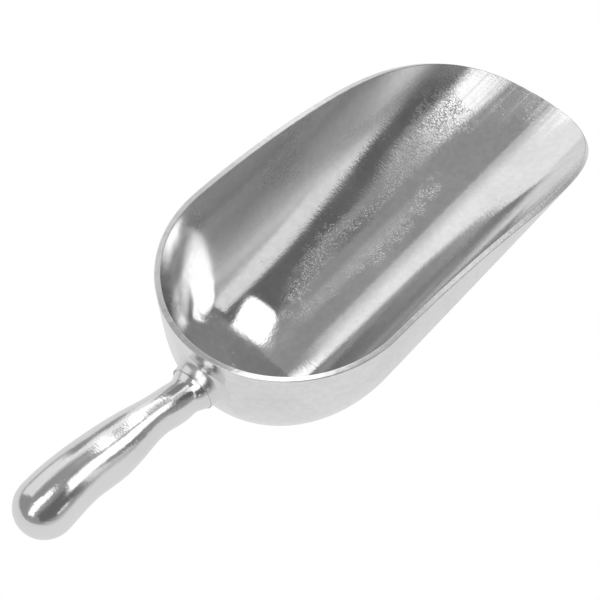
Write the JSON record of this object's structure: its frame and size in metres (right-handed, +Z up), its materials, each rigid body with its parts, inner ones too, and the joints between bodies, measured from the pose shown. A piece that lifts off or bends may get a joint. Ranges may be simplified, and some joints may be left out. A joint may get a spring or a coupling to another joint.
{
  "type": "ice scoop",
  "caption": "Deep round-backed scoop with a rim that falls to a thin pouring lip, and a solid contoured handle welded to its rear wall, for ice or dry goods.",
  "frame": {"origin": "under the middle of the overall length and width, on the surface the bowl stands on", "axes": "+X along the scoop from the grip to the pouring lip, +Y across the bowl, +Z up out of the bowl"},
  "size_m": [0.4041, 0.132, 0.0943],
  "materials": {
    "polished_bowl": "hand-polished casting, fine scratches and pits inside, ground rim",
    "polished_handle": "polished casting",
    "dressed_weld": "weld dressed smooth and polished"
  },
  "bodies": {
    "root": {"bowl": "polished_bowl", "handle": "polished_handle", "weld": "dressed_weld"}
  },
  "joints": []
}
